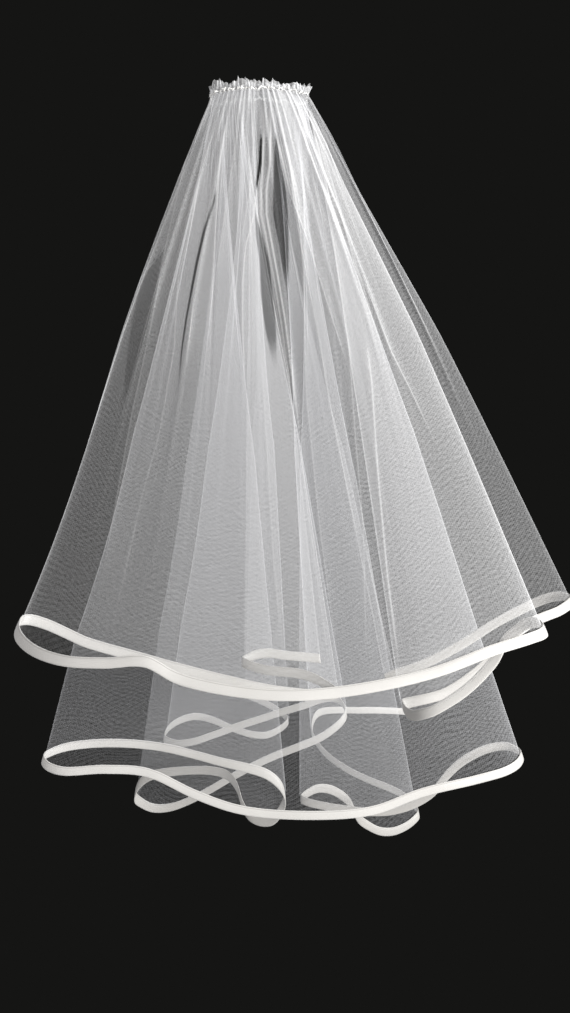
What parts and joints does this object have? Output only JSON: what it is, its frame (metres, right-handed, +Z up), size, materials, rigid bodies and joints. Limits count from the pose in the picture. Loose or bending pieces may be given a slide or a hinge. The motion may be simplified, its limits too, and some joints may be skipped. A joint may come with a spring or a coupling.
{
  "type": "bridal veil",
  "caption": "Short two-tier wedding veil of soft tulle with satin ribbon hems, gathered on a hair comb and hanging in deep flutes.",
  "frame": {"origin": "middle of the comb's spine, where the veil is held up, at rest as it hangs", "axes": "+Z up along the fall of the cloth, -Y the front that faces the viewer, +X to the viewer's right"},
  "size_m": [0.4677, 0.4026, 0.7268],
  "materials": {
    "upper_tulle": "sheer soft net",
    "lower_tulle": "sheer soft net",
    "upper_satin": "satin",
    "lower_satin": "satin",
    "cord_thread": "matte thread",
    "comb_plastic": "satin"
  },
  "bodies": {
    "root": {"upper_tier": "upper_tulle", "lower_tier": "lower_tulle", "upper_ribbon": "upper_satin", "lower_ribbon": "lower_satin", "gathering_cord": "cord_thread", "comb": "comb_plastic"}
  },
  "joints": []
}
